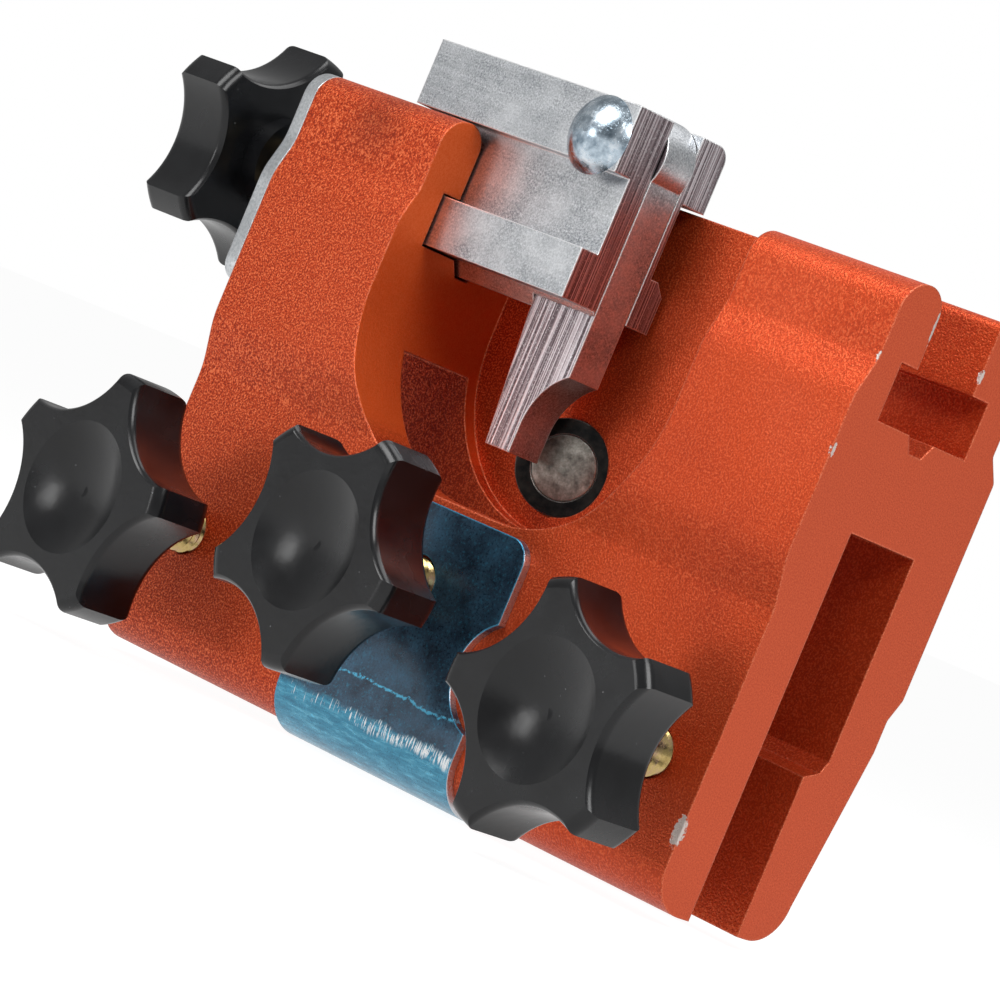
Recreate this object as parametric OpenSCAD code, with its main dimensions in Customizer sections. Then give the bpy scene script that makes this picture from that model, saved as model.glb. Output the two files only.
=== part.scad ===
// Sharpening jig for a saw chain: an extruded body that sits astride the guide bar,
// a stop block fed along the top by a screw, and a tilted bush that guides the cutter.
// x runs along the bar slot, y from the front face to the back, z up from the feet.

/* [Body] */
// Length of the body along the bar slot
body_len = 100; // [90:1:130]
// Height of the walls above the feet
body_h = 74.1; // [73:0.1:80]
// Depth from the front face to the back of the shoulder
body_d = 28; // [27.6:0.1:32]
// Setback of the lower front face behind the upper one
face_set = 1.5; // [0.5:0.1:3]
// Height where the front face starts to step forward
face_step_z = 35; // [33:0.5:38]
// Height of that step
face_step_h = 6; // [4.5:0.5:9]
// Radius of the bends at the foot and the head of that step
face_bend_r = 12; // [6:0.5:14]
// Setback of the top of the front wall
horn_set = 1.4; // [0.5:0.1:2.5]
// Height where the front wall starts to lean back
horn_lean_z = 60; // [56:0.5:64]
// Height of the leaning stretch
horn_lean_h = 4.6; // [3.2:0.2:6]
// Radius of the bends at the foot and the head of that stretch
horn_bend_r = 8; // [4:0.5:10]
// Radius of the front top edge
horn_r = 3.5; // [1:0.1:4.5]
// Radius of the front wall's inner top edge
horn_in_r = 3; // [1:0.1:3]
// Radius of the rear wall's top edges
wall_r = 1; // [0.3:0.1:1.5]
// Radius of the feet's outer edges
foot_r = 5; // [2:0.5:5.5]

/* [Back] */
// Setback of the upper back face behind the shoulder
back_top_set = 2; // [1:0.1:2.4]
// Setback of the lower back face
back_low_set = 1.2; // [0.5:0.1:2]
// Setback of the back of the rear foot
back_foot_set = 4.2; // [2:0.1:4.6]
// Height of the top of the back shoulder
shoulder_top = 57.3; // [54:0.5:60]
// Height of the bottom of the back shoulder
shoulder_low = 31; // [28:0.5:34]
// Height of the shoulder's two slopes
shoulder_slope = 2.7; // [2:0.1:4]
// Radius of the shoulder's edges
shoulder_r = 1; // [0.4:0.1:1.2]
// Height where the rear leg starts to taper
taper_z = 24.4; // [22:0.2:27]

/* [Bar slot] */
// Front wall of the slot, from the front face
slot_y = 8.45; // [8:0.05:9]
// Width of the slot where the guide bar is clamped
slot_w = 8.65; // [8:0.05:9.2]
// Extra width of the slot above the clamping face
slot_relief = 3.1; // [2:0.1:3.6]
// Height of the clamping face
slot_face_h = 19.2; // [16:0.2:24]
// Height of the slope above the clamping face
slot_slope = 2.5; // [1.5:0.1:4]
// Height of the slot
slot_h = 46; // [44:0.5:48]

/* [Stop track] */
// Front wall of the track, from the front face
track_y = 5.2; // [5:0.05:5.6]
// Width of the track
track_w = 16.4; // [15.6:0.1:16.8]
// Depth of the track's floor below the tops of the walls
track_down = 15.75; // [15.2:0.05:16.4]
// Height of the track under its lips
track_h = 6.85; // [6.4:0.05:7.4]
// Edge of the front lip, from the front face
lip_front = 8.1; // [7.6:0.1:8.4]
// Edge of the rear lip, from the front face
lip_rear = 18.6; // [18.4:0.1:19.2]
// Middle of the groove in the floor, from the front face
groove_y = 13.4; // [13:0.1:14]
// Width of the groove
groove_w = 4.6; // [4:0.1:5]
// Width of the groove's bottom
groove_base = 2.2; // [1.6:0.1:2.6]
// Depth of the groove
groove_d = 1.9; // [1.6:0.1:2.4]

/* [Window] */
// Width of the window in the front wall
window_w = 52.6; // [46:0.2:58]
// Height of the bottom of the window
window_z = 31.8; // [30:0.2:36]
// Radius of the window's lower corners
window_r = 20; // [14:0.5:22]
// Depth of the pocket that it leaves in the rear leg
pocket_d = 1.8; // [0.5:0.1:2.5]

/* [End plate] */
// Thickness of the end plate
plate_t = 2; // [1.5:0.1:3]
// Radius of the plate's lower corners
plate_r = 2.5; // [1:0.1:4]
// Height of the two plate screws above the slot
plate_screw_up = 5; // [4.5:0.1:6]
// Front plate screw, from the front face
plate_screw_front = 4; // [4:0.1:6]
// Rear plate screw, from the upper back face
plate_screw_back = 2.4; // [2.2:0.1:4]
// Shank radius of the plate screws
plate_screw_r = 2; // [1.5:0.1:2]
// Shank length of the plate screws
plate_screw_len = 9; // [6:0.5:12]
// Head radius of the plate screws
plate_head_r = 3.4; // [3:0.1:3.6]
// Head height of the plate screws
plate_head_h = 2.4; // [1:0.1:2.5]

/* [Stop block] */
// Left end of the block, from the middle of the body
block_left = -37.2; // [-38:0.1:-34]
// Length of the block
block_len = 35.4; // [34:0.2:38]
// Front face of the block's head, from the front face of the body
head_y = 5.6; // [5:0.1:6]
// Depth of the head
head_d = 16.8; // [16:0.1:18]
// Height of the head
head_h = 8.3; // [7:0.1:10]
// Radius of the head's rear top edge
head_r = 2; // [0.5:0.1:3]
// Slope on the foot's rear top edge
foot_slope = 1.6; // [0.5:0.1:2]
// Width of the saw cut for the stop arm
cut_w = 5.6; // [5.2:0.1:5.8]
// Front side of the saw cut, from the front face of the body
cut_y = 11.75; // [11.5:0.05:12]
// Length of the saw cut
cut_len = 10.6; // [10.4:0.1:12]

/* [Stop arm] */
// Thickness of the arm
arm_t = 5.3; // [4.6:0.1:5.3]
// Distance from the pivot to the block's right end
pivot_in = 4.6; // [4.4:0.1:5]
// Height of the pivot above the bottom of the head
pivot_up = 3.5; // [3:0.1:4.5]
// Radius of the arm's top
arm_r = 5.3; // [4.8:0.1:5.4]
// Reach of the arm below the pivot
arm_reach = 38.3; // [34:0.1:39]
// Height of the arm's tapered end
arm_taper_h = 16.3; // [12:0.1:20]
// Width of the tip
tip_w = 4.1; // [3:0.1:5]
// Radius of the hook above the tip
hook_r = 8.2; // [6:0.1:9]
// Height of the hook's middle above the tip
hook_up = 3.5; // [3:0.1:5]

/* [Rivet] */
// Radius of the rivet's shank
rivet_r = 2; // [1.5:0.1:2.4]
// Radius of the rivet's domed head
rivet_head_r = 4.9; // [4:0.1:5.2]
// Height of the domed head
rivet_head_h = 2.5; // [1.5:0.1:3]
// Radius of the spread tail
rivet_tail_r = 3.2; // [2.8:0.1:4]
// Height of the spread tail
rivet_tail_h = 1.2; // [0.8:0.1:2]

/* [Star knobs] */
// Radius over the tips of a knob
knob_r = 15; // [13:0.5:16]
// Thickness of a knob
knob_h = 9; // [8:0.1:10]
// Radius of the narrowest part between two tips
waist_r = 10.3; // [9.6:0.1:11]
// Radius of the hollow between two tips
hollow_r = 11.3; // [10:0.1:13]
// Radius of the rolled edges at the tips
knob_edge = 1.6; // [1.4:0.1:2]
// Radius of the rolled edges in the hollows
hollow_edge = 1.2; // [0.6:0.1:1.3]
// Distance that this roll stops short of the knob's faces
edge_stop = 0.25; // [0.1:0.05:0.4]
// Radius of the thumb dish
dish_r = 8.2; // [6:0.1:8.6]
// Depth of the thumb dish
dish_d = 2; // [1:0.1:2.4]
// Radius of the boss behind a knob
boss_r = 6; // [5:0.1:7]
// Height of the boss
boss_h = 2.6; // [1:0.1:3.5]
// Depth of the screw's seat in a knob
socket_d = 6; // [4:0.1:6.5]

/* [Clamp screws] */
// Radius of the clamp and feed screws
screw_r = 3; // [2.5:0.1:3]
// Distance from the lower front face to a knob's front face
clamp_out = 19.8; // [17:0.1:24]
// Distance of the left clamp screw from the body's left end
left_in = 8.9; // [8:0.1:14]
// Height of the left clamp screw
left_z = 15.9; // [15.5:0.1:18]
// Place of the middle clamp screw along the body
middle_x = -1.1; // [-4:0.1:4]
// Height of the middle clamp screw
middle_z = 21.7; // [21:0.1:24]
// Distance of the right clamp screw from the body's right end
right_in = 8.4; // [8:0.1:14]
// Height of the right clamp screw
right_z = 15.6; // [15.5:0.1:18]
// Turn of the left knob
left_angle = 82.4; // [0:0.1:360]
// Turn of the middle knob
middle_angle = 63.4; // [0:0.1:360]
// Turn of the right knob
right_angle = 107; // [0:0.1:360]
// Length of the point that is turned down at a screw's end
screw_point = 1; // [0.5:0.1:2]

/* [Feed screw] */
// Height of the feed screw above the track's floor
feed_z = 3.45; // [3.3:0.05:3.6]
// Right end of the feed screw, from the middle of the body
feed_end = -22; // [-24:0.5:-21]
// Distance from the end plate to the feed knob's front face
feed_out = 21.5; // [20:0.1:26]
// Turn of the feed knob
feed_angle = 12; // [0:1:360]
// Radius of the thrust collar outside the plate
collar_r = 5.5; // [5:0.1:6.5]
// Length of the thrust collar
collar_len = 5; // [3:0.5:6]
// Radius of the retaining ring inside the plate
ring_r = 5; // [4.5:0.1:5.5]
// Thickness of the retaining ring
ring_t = 0.8; // [0.6:0.1:1.2]

/* [Clip] */
// Thickness of the clip's sheet
clip_t = 1.1; // [0.8:0.1:1.5]
// Height of the clip's top edge
clip_h = 31; // [29:0.5:33]
// Width of the clip's head
clip_head_w = 28; // [24:0.5:30]
// Radius of the head's corners
clip_r = 3; // [1:0.5:5]
// Width of the clip's foot
clip_foot_w = 31; // [28:0.5:34]
// Width of the clip's neck
clip_neck_w = 20.6; // [18:0.2:23]
// Height of the neck
clip_neck_z = 15; // [13:0.5:16]
// Radius of the neck's sides
clip_neck_r = 7; // [5:0.5:8]
// Height of the leg inside the slot
clip_leg_h = 11; // [6:0.5:14]

/* [Cutter guide] */
// Angle of the cutter across the body
cutter_angle = 30; // [20:1:35]
// Place of the cutter's mouth along the body
cutter_x = -6.4; // [-10:0.1:0]
// Height of the cutter
cutter_z = 40.4; // [38:0.1:44]
// Outer radius of the bush
bush_r = 6; // [5.5:0.1:6.5]
// Distance that the bush stands out of the pocket's floor
bush_out = 0.5; // [0:0.1:1]
// Radius of the shaft
shaft_r = 4; // [3.5:0.1:4.2]
// Length of the shaft
shaft_len = 46; // [42:0.5:60]
// Distance that the shaft stands out of the bush
shaft_out = 0.4; // [0:0.1:0.8]
// Height of the shaft's domed end
shaft_dome = 0.5; // [0.2:0.1:1]
// Radius of the shank at the shaft's driven end
shank_r = 3.2; // [2.8:0.1:3.4]
// Length of that shank
shank_len = 14; // [10:0.5:18]
// Bevel on the shank's end
shank_bevel = 0.5; // [0.2:0.1:1]
// Radius of the shaft collar
stop_r = 7; // [6:0.1:8]
// Length of the shaft collar
stop_len = 6; // [5:0.1:8]
// Radius of the set screw in the collar
grub_r = 1.5; // [1:0.1:2]
// Thickness of the thrust washer
washer_t = 1; // [0.8:0.1:1.5]
// Radius of the thrust washer
washer_r = 6.4; // [6:0.1:7]
// Forward stroke of the shaft
stroke = 1.2; // [0.8:0.1:1.5]

/* [Clearances] */
// Clearance round a screw, pin or shaft
turn_gap = 0.05; // [0.02:0.01:0.09]
// Clearance round a pressed bush
press_gap = 0.02; // [0.01:0.01:0.03]
// Clearance between sliding faces
slide_gap = 0.3; // [0.2:0.05:0.4]

/* [Hidden] */
$fn = 96;
// Overrun of every cut past the face that it opens
over = 1;
// Middle of the bar slot, where the part's own y starts
slot_mid = slot_y + slot_w / 2;
slot_rear = slot_y + slot_w;
slot_back = slot_rear + slot_relief;
back_top = body_d - back_top_set;
back_low = body_d - back_low_set;
back_foot = body_d - back_foot_set;
pocket_y = slot_back + pocket_d;
track_z = body_h - track_down;
lip_z = track_z + track_h;
feed_y = groove_y;
feed_height = track_z + feed_z;
plate_x = -body_len / 2 - plate_t;
plate_screw_z = slot_h + plate_screw_up;
plate_screw_rear = back_top - plate_screw_back;
left_x = -body_len / 2 + left_in;
right_x = body_len / 2 - right_in;
head_z = body_h + slide_gap;
head_top = head_z + head_h;
block_right = block_left + block_len;
pivot_x = block_right - pivot_in;
pivot_z = head_z + pivot_up;
arm_y = cut_y + (cut_w - arm_t) / 2;
web_front = lip_front + slide_gap;
web_rear = lip_rear - slide_gap;
clamp_front = face_set - clamp_out;
feed_front = plate_x - feed_out;
// Way along the cutter from the pocket's floor until the collar's edge is clear of the back
exit_z = (body_d - pocket_y) / cos(cutter_angle) + stop_r * tan(cutter_angle);
bush_end = exit_z + slide_gap;
bush_len = bush_end + bush_out;
// Start of the collar, with the washer before it and the stroke left free
stop_z = bush_end + slide_gap + stroke + washer_t;
// Share of the slope above the clamping face that lies flatter, in depth and in height
slope_share = 0.74;
slope_rise_share = 0.36;
// Share of the pivot's distance from the arm's left edge that the tip keeps
tip_in_share = 0.7;

// Puts the middle of the slot's mouth at the origin
module placed() {
    translate([0, -slot_mid, 0]) children();
}

// Lays an outline drawn in depth and height along the body, centred on it
module along_body(length, shift = 0) {
    translate([shift - length / 2, 0, 0])
        rotate([90, 0, 90])
            linear_extrude(length) children();
}

// Lays an outline drawn in length and height between two depths
module across_body(from, to) {
    translate([0, to, 0])
        rotate([90, 0, 0])
            linear_extrude(to - from) children();
}

// Round rod along the body's depth
module rod_y(x, z, from, to, r) {
    translate([x, to, z])
        rotate([90, 0, 0]) cylinder(h = to - from, r = r);
}

// Round rod along the body's length
module rod_x(y, z, from, to, r) {
    translate([from, y, z])
        rotate([0, 90, 0]) cylinder(h = to - from, r = r);
}

// Waste outside a rounded square corner, which is turned in quarter turns
module corner_waste(at, turn, r) {
    translate(at)
        rotate(turn)
            difference() {
                translate([-over, -over]) square([r + over, r + over]);
                translate([r, r]) circle(r);
            }
}

// Follows the cutter: the local z axis points backwards along the shaft
module along_cutter() {
    translate([cutter_x, pocket_y, cutter_z])
        rotate([-90, 0, cutter_angle]) children();
}

// Fillet of the corner p between the points a and b: waste on an outer corner, filling on an inner one
module bend(a, p, b, r) {
    u = (a - p) / norm(a - p);
    v = (b - p) / norm(b - p);
    w = (u + v) / norm(u + v);
    half = acos(u * v) / 2;
    reach = r / tan(half);
    difference() {
        polygon([p + u * reach, p - w * over, p + v * reach]);
        translate(p + w * r / sin(half)) circle(r);
    }
}

module body_outline() {
    step_foot = [face_set, face_step_z];
    step_head = [0, face_step_z + face_step_h];
    lean_foot = [0, horn_lean_z];
    lean_head = [horn_set, horn_lean_z + horn_lean_h];
    upper_foot = [back_top, shoulder_top + shoulder_slope];
    shoulder_head = [body_d, shoulder_top];
    shoulder_foot = [body_d, shoulder_low];
    lower_head = [back_low, shoulder_low - shoulder_slope];
    difference() {
        union() {
            polygon([
                [face_set, 0],
                step_foot,
                step_head,
                lean_foot,
                lean_head,
                [horn_set, body_h],
                [back_top, body_h],
                upper_foot,
                shoulder_head,
                shoulder_foot,
                lower_head,
                [back_low, taper_z],
                [back_foot, foot_r],
                [back_foot, 0]
            ]);
            bend([face_set, 0], step_foot, step_head, face_bend_r);
            bend(lean_foot, lean_head, [horn_set, body_h], horn_bend_r);
            bend([back_top, body_h], upper_foot, shoulder_head, shoulder_r);
            bend(shoulder_foot, lower_head, [back_low, taper_z], shoulder_r);
        }
        bend(step_foot, step_head, lean_foot, face_bend_r);
        bend(step_head, lean_foot, lean_head, horn_bend_r);
        bend(upper_foot, shoulder_head, shoulder_foot, shoulder_r);
        bend(shoulder_head, shoulder_foot, lower_head, shoulder_r);
        corner_waste([face_set, 0], 0, foot_r);
        corner_waste([horn_set, body_h], -90, horn_r);
        corner_waste([back_top, body_h], 180, wall_r);
        corner_waste([back_foot, 0], 90, foot_r);
    }
}

module slot_outline() {
    polygon([
        [slot_y, -over],
        [slot_rear, -over],
        [slot_rear, slot_face_h],
        [slot_rear + slot_relief * slope_share, slot_face_h + slot_slope * slope_rise_share],
        [slot_back, slot_face_h + slot_slope],
        [slot_back, slot_h],
        [slot_y, slot_h]
    ]);
}

module track_outline() {
    mouth = lip_rear - lip_front;
    translate([track_y, track_z]) square([track_w, track_h]);
    translate([lip_front, track_z]) square([mouth, body_h - track_z + over]);
    translate([lip_front, body_h]) rounded_mouth(mouth);
    polygon([
        [groove_y - groove_w / 2, track_z + over],
        [groove_y - groove_w / 2, track_z],
        [groove_y - groove_base / 2, track_z - groove_d],
        [groove_y + groove_base / 2, track_z - groove_d],
        [groove_y + groove_w / 2, track_z],
        [groove_y + groove_w / 2, track_z + over]
    ]);
}

// Waste that rounds both top edges of the track's mouth
module rounded_mouth(width) {
    corner_waste([0, 0], 180, horn_in_r);
    corner_waste([width, 0], -90, wall_r);
}

module window_outline() {
    round_z = window_z + window_r;
    flat_half = window_w / 2 - window_r;
    translate([-window_w / 2, round_z]) square([window_w, body_h - round_z + over]);
    translate([-flat_half, window_z]) square([2 * flat_half, window_r + over]);
    for (side = [-1, 1])
        translate([side * flat_half, round_z]) circle(window_r);
}

// The window opens the front wall and the web, and leaves a pocket in the rear leg
module window_cut() {
    across_body(-over, pocket_y) window_outline();
}

module body() {
    color("#c84e22") placed() difference() {
        along_body(body_len) difference() {
            body_outline();
            slot_outline();
            track_outline();
        }
        window_cut();
        for (at = [[left_x, left_z], [middle_x, middle_z], [right_x, right_z]])
            rod_y(at[0], at[1], -over, slot_y + over, screw_r + turn_gap);
        for (y = [plate_screw_front, plate_screw_rear])
            rod_x(y, plate_screw_z, -body_len / 2 - over, plate_screw_len + plate_x + over,
                plate_screw_r + turn_gap);
        rod_x(feed_y, feed_height, -body_len / 2 - over, -body_len / 2 + ring_t + 2 * slide_gap,
            ring_r + slide_gap);
        along_cutter() translate([0, 0, -bush_r])
            cylinder(h = bush_len + 2 * bush_r, r = bush_r + press_gap);
    }
}

module end_plate() {
    color("silver") placed() difference() {
        translate([-body_len / 2 - plate_t, 0, 0]) along_body(plate_t, plate_t / 2) difference() {
            intersection() {
                body_outline();
                translate([0, slot_h]) square([body_d, body_h - slot_h]);
            }
            corner_waste([0, slot_h], 0, plate_r);
            corner_waste([body_d, slot_h], 90, plate_r);
        }
        rod_x(feed_y, feed_height, plate_x - over, plate_x + plate_t + over, screw_r + turn_gap);
        for (y = [plate_screw_front, plate_screw_rear])
            rod_x(y, plate_screw_z, plate_x - over, plate_x + plate_t + over,
                plate_screw_r + turn_gap);
    }
}

// Pan head screw that holds the plate, with a rounded head edge
module plate_screw(y) {
    color("gainsboro") placed() translate([plate_x, y, plate_screw_z]) rotate([0, 90, 0]) {
        cylinder(h = plate_screw_len, r = plate_screw_r);
        translate([0, 0, -plate_head_h]) intersection() {
            cylinder(h = plate_head_h, r = plate_head_r);
            translate([0, 0, dome_r(plate_head_r, plate_head_h)])
                sphere(dome_r(plate_head_r, plate_head_h));
        }
    }
}

// Radius of the ball whose cap has a given rim radius and height
function dome_r(rim, height) = (rim * rim + height * height) / (2 * height);

module end_screw_front() { plate_screw(plate_screw_front); }
module end_screw_rear() { plate_screw(plate_screw_rear); }

// Sheet of the clip seen from the end: down the front face, round the foot and up in the slot
module clip_sheet() {
    reach = face_set - clip_t;
    bend_y = face_set + foot_r;
    translate([reach, foot_r]) square([clip_t, clip_h - foot_r]);
    difference() {
        translate([bend_y, foot_r]) circle(foot_r + clip_t);
        translate([bend_y, foot_r]) circle(foot_r);
        translate([bend_y, -clip_t - over])
            square([foot_r + clip_t + over, 2 * foot_r + 2 * clip_t + 2 * over]);
        translate([reach - over, foot_r])
            square([foot_r + clip_t + over, foot_r + clip_t + over]);
    }
    translate([bend_y, -clip_t]) square([slot_y - bend_y, clip_t]);
    translate([slot_y, 0]) intersection() {
        circle(clip_t);
        translate([0, -clip_t]) square([clip_t, clip_t]);
    }
    translate([slot_y, 0]) square([clip_t, clip_leg_h]);
}

// Front of the clip: a round-cornered head, a drawn-in neck and a wide foot
module clip_front() {
    head_half = clip_head_w / 2;
    foot_half = clip_foot_w / 2;
    difference() {
        union() {
            difference() {
                translate([-head_half, clip_neck_z]) square([clip_head_w, clip_h - clip_neck_z]);
                corner_waste([-head_half, clip_h], -90, clip_r);
                corner_waste([head_half, clip_h], 180, clip_r);
            }
            translate([-foot_half, -clip_t - over])
                square([clip_foot_w, clip_neck_z + clip_t + over]);
        }
        for (side = [-1, 1])
            translate([side * (clip_neck_w / 2 + clip_neck_r), clip_neck_z]) circle(clip_neck_r);
    }
}

module clamp_clip() {
    color("#1f4a68") placed() difference() {
        intersection() {
            along_body(clip_foot_w) clip_sheet();
            across_body(-over, slot_y + clip_t + over) clip_front();
        }
        rod_y(middle_x, middle_z, -over, slot_y - over, screw_r + slide_gap);
    }
}

module shaft_bush() {
    color("#2b2b2b") placed() along_cutter() translate([0, 0, -bush_out]) difference() {
        cylinder(h = bush_len, r = bush_r);
        translate([0, 0, -over]) cylinder(h = bush_len + 2 * over, r = shaft_r + turn_gap);
    }
}

// Round shaft with a domed front end and a thinner, bevelled shank at the driven end
module drive_shaft() {
    cap_r = dome_r(shaft_r, shaft_dome);
    body_end = shaft_len - shank_len;
    color("darkgray") placed() along_cutter() translate([0, 0, -bush_out - shaft_out]) {
        intersection() {
            cylinder(h = body_end, r = shaft_r);
            translate([0, 0, cap_r]) union() {
                sphere(cap_r);
                cylinder(h = body_end, r = cap_r);
            }
        }
        translate([0, 0, body_end - over]) cylinder(h = shank_len + over - shank_bevel, r = shank_r);
        translate([0, 0, shaft_len - shank_bevel])
            cylinder(h = shank_bevel, r1 = shank_r, r2 = shank_r - shank_bevel);
    }
}

module shaft_washer() {
    color("ivory") placed() along_cutter() translate([0, 0, stop_z - washer_t]) difference() {
        cylinder(h = washer_t, r = washer_r);
        translate([0, 0, -over]) cylinder(h = washer_t + 2 * over, r = shaft_r + turn_gap);
    }
}

module shaft_collar() {
    color("dimgray") placed() along_cutter() translate([0, 0, stop_z]) difference() {
        cylinder(h = stop_len, r = stop_r);
        translate([0, 0, -over]) cylinder(h = stop_len + 2 * over, r = shaft_r + turn_gap);
        translate([0, 0, stop_len / 2]) rotate([-90, 0, 0]) cylinder(h = stop_r + over, r = grub_r);
    }
}

// The block seen from the end: a wide head, a web between the lips, and a foot with a tongue
module block_outline() {
    foot_front = track_y + slide_gap;
    foot_rear = track_y + track_w - slide_gap;
    foot_z = track_z + slide_gap;
    foot_top = lip_z - slide_gap;
    tongue_z = track_z - groove_d + slide_gap;
    difference() {
        translate([head_y, head_z]) square([head_d, head_h]);
        corner_waste([head_y + head_d, head_top], 180, head_r);
    }
    translate([web_front, foot_z]) square([web_rear - web_front, head_top - foot_z - head_r]);
    polygon([
        [foot_front, foot_z],
        [groove_y - groove_w / 2 + slide_gap, foot_z],
        [groove_y - groove_base / 2 + slide_gap, tongue_z],
        [groove_y + groove_base / 2 - slide_gap, tongue_z],
        [groove_y + groove_w / 2 - slide_gap, foot_z],
        [foot_rear, foot_z],
        [foot_rear, foot_top - foot_slope],
        [foot_rear - foot_slope, foot_top],
        [foot_front, foot_top]
    ]);
}

module slide_block() {
    color("#c9cdd2") placed() difference() {
        translate([block_left + block_len / 2, 0, 0]) along_body(block_len) block_outline();
        translate([block_right - cut_len, cut_y, track_z - groove_d])
            cube([cut_len + over, cut_w, head_top - track_z + groove_d + over]);
        rod_y(pivot_x, pivot_z, head_y - over, head_y + head_d + over, rivet_r + turn_gap);
        rod_x(feed_y, feed_height, block_left - over, block_right - cut_len + over,
            screw_r + turn_gap);
    }
}

// The arm hangs from its round top; its end tapers to a hooked tip
module pawl_outline() {
    arm_left = block_right - cut_len + slide_gap;
    arm_right = block_right;
    tip_z = pivot_z - arm_reach;
    tip_left = pivot_x - (pivot_x - arm_left) * tip_in_share;
    difference() {
        union() {
            translate([pivot_x, pivot_z]) circle(arm_r);
            polygon([
                [arm_left, pivot_z],
                [arm_left, tip_z + arm_taper_h],
                [tip_left, tip_z],
                [tip_left + tip_w, tip_z],
                [arm_right, tip_z + arm_taper_h],
                [arm_right, pivot_z]
            ]);
            translate([tip_left + tip_w, tip_z]) square([arm_right - tip_left - tip_w, arm_taper_h]);
        }
        translate([tip_left + tip_w + hook_r, tip_z + hook_up]) circle(hook_r);
        translate([tip_left + tip_w, tip_z - over]) square([hook_r, hook_up + over]);
    }
}

module pawl() {
    color("#d3d6da") placed() difference() {
        across_body(arm_y, arm_y + arm_t) pawl_outline();
        rod_y(pivot_x, pivot_z, arm_y - over, arm_y + arm_t + over, rivet_r + turn_gap);
    }
}

module pawl_rivet() {
    head_ball = dome_r(rivet_head_r, rivet_head_h);
    tail_ball = dome_r(rivet_tail_r, rivet_tail_h);
    color("#dfe3e8") placed() translate([pivot_x, 0, pivot_z]) rotate([-90, 0, 0]) {
        translate([0, 0, head_y]) cylinder(h = head_d, r = rivet_r);
        translate([0, 0, head_y - rivet_head_h]) intersection() {
            cylinder(h = rivet_head_h, r = rivet_head_r);
            translate([0, 0, head_ball]) sphere(head_ball);
        }
        translate([0, 0, head_y + head_d]) intersection() {
            cylinder(h = rivet_tail_h, r = rivet_tail_r);
            translate([0, 0, rivet_tail_h - tail_ball]) sphere(tail_ball);
        }
    }
}

// Cutter that hollows one side of a knob and rolls its front and back edges over
module hollow_cutter() {
    flare = hollow_r + hollow_edge;
    roll_z = hollow_edge - edge_stop;
    rotate_extrude() difference() {
        translate([0, -knob_h - over]) square([flare, knob_h + 2 * over]);
        translate([hollow_r, roll_z - knob_h]) square([hollow_edge + over, knob_h - 2 * roll_z]);
        for (z = [-roll_z, roll_z - knob_h])
            translate([flare, z]) circle(hollow_edge);
    }
}

// Five-pointed moulded knob: the front face at z = 0 looks along +z, the boss is behind
module star_knob(turn) {
    dish_ball = dome_r(dish_r, dish_d);
    rotate(turn) difference() {
        union() {
            rotate_extrude() {
                translate([0, -knob_h]) square([knob_r - knob_edge, knob_h]);
                translate([0, knob_edge - knob_h]) square([knob_r, knob_h - 2 * knob_edge]);
                for (z = [-knob_edge, knob_edge - knob_h])
                    translate([knob_r - knob_edge, z]) circle(knob_edge);
            }
            translate([0, 0, -knob_h - boss_h]) cylinder(h = boss_h + over, r = boss_r);
        }
        for (side = [0:4])
            rotate(side * 72 + 36)
                translate([waist_r + hollow_r, 0, 0]) hollow_cutter();
        translate([0, 0, dish_ball - dish_d]) sphere(dish_ball);
        translate([0, 0, -knob_h - boss_h - over])
            cylinder(h = socket_d + over, r = screw_r + turn_gap);
    }
}

module clamp_knob(x, z, turn) {
    color("#1c1d20") placed() translate([x, clamp_front, z]) rotate([90, 0, 0]) star_knob(turn);
}

module clamp_knob_left() { clamp_knob(left_x, left_z, left_angle); }
module clamp_knob_middle() { clamp_knob(middle_x, middle_z, middle_angle); }
module clamp_knob_right() { clamp_knob(right_x, right_z, right_angle); }

// Screw from its seat in the knob to the slot's front wall
module clamp_screw(x, z) {
    seat = clamp_front + knob_h + boss_h - socket_d;
    color("#b9a15a") placed() {
        rod_y(x, z, seat, slot_y - screw_point, screw_r);
        translate([x, slot_y - screw_point, z]) rotate([-90, 0, 0])
            cylinder(h = screw_point, r1 = screw_r, r2 = screw_r - screw_point / 2);
    }
}

module clamp_screw_left() { clamp_screw(left_x, left_z); }
module clamp_screw_middle() { clamp_screw(middle_x, middle_z); }
module clamp_screw_right() { clamp_screw(right_x, right_z); }

module feed_knob() {
    color("#1c1d20") placed() translate([feed_front, feed_y, feed_height])
        rotate([0, -90, 0]) star_knob(feed_angle);
}

module feed_screw() {
    color("#b9a15a") placed()
        rod_x(feed_y, feed_height, feed_front + knob_h + boss_h - socket_d, feed_end, screw_r);
}

module feed_collar() {
    color("gainsboro") placed() difference() {
        rod_x(feed_y, feed_height, plate_x - slide_gap - collar_len, plate_x - slide_gap, collar_r);
        rod_x(feed_y, feed_height, plate_x - slide_gap - collar_len - over, plate_x, screw_r + turn_gap);
    }
}

module feed_ring() {
    ring_x = -body_len / 2 + slide_gap;
    color("dimgray") placed() difference() {
        rod_x(feed_y, feed_height, ring_x, ring_x + ring_t, ring_r);
        rod_x(feed_y, feed_height, ring_x - over, ring_x + ring_t + over, screw_r + turn_gap);
    }
}

body();
end_plate();
end_screw_front();
end_screw_rear();
clamp_clip();
shaft_bush();
drive_shaft();
shaft_collar();
shaft_washer();
slide_block();
pawl();
pawl_rivet();
feed_screw();
feed_knob();
feed_collar();
feed_ring();
clamp_screw_left();
clamp_screw_middle();
clamp_screw_right();
clamp_knob_left();
clamp_knob_middle();
clamp_knob_right();
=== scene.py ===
import math

import bpy
from mathutils import Matrix, Vector


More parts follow.
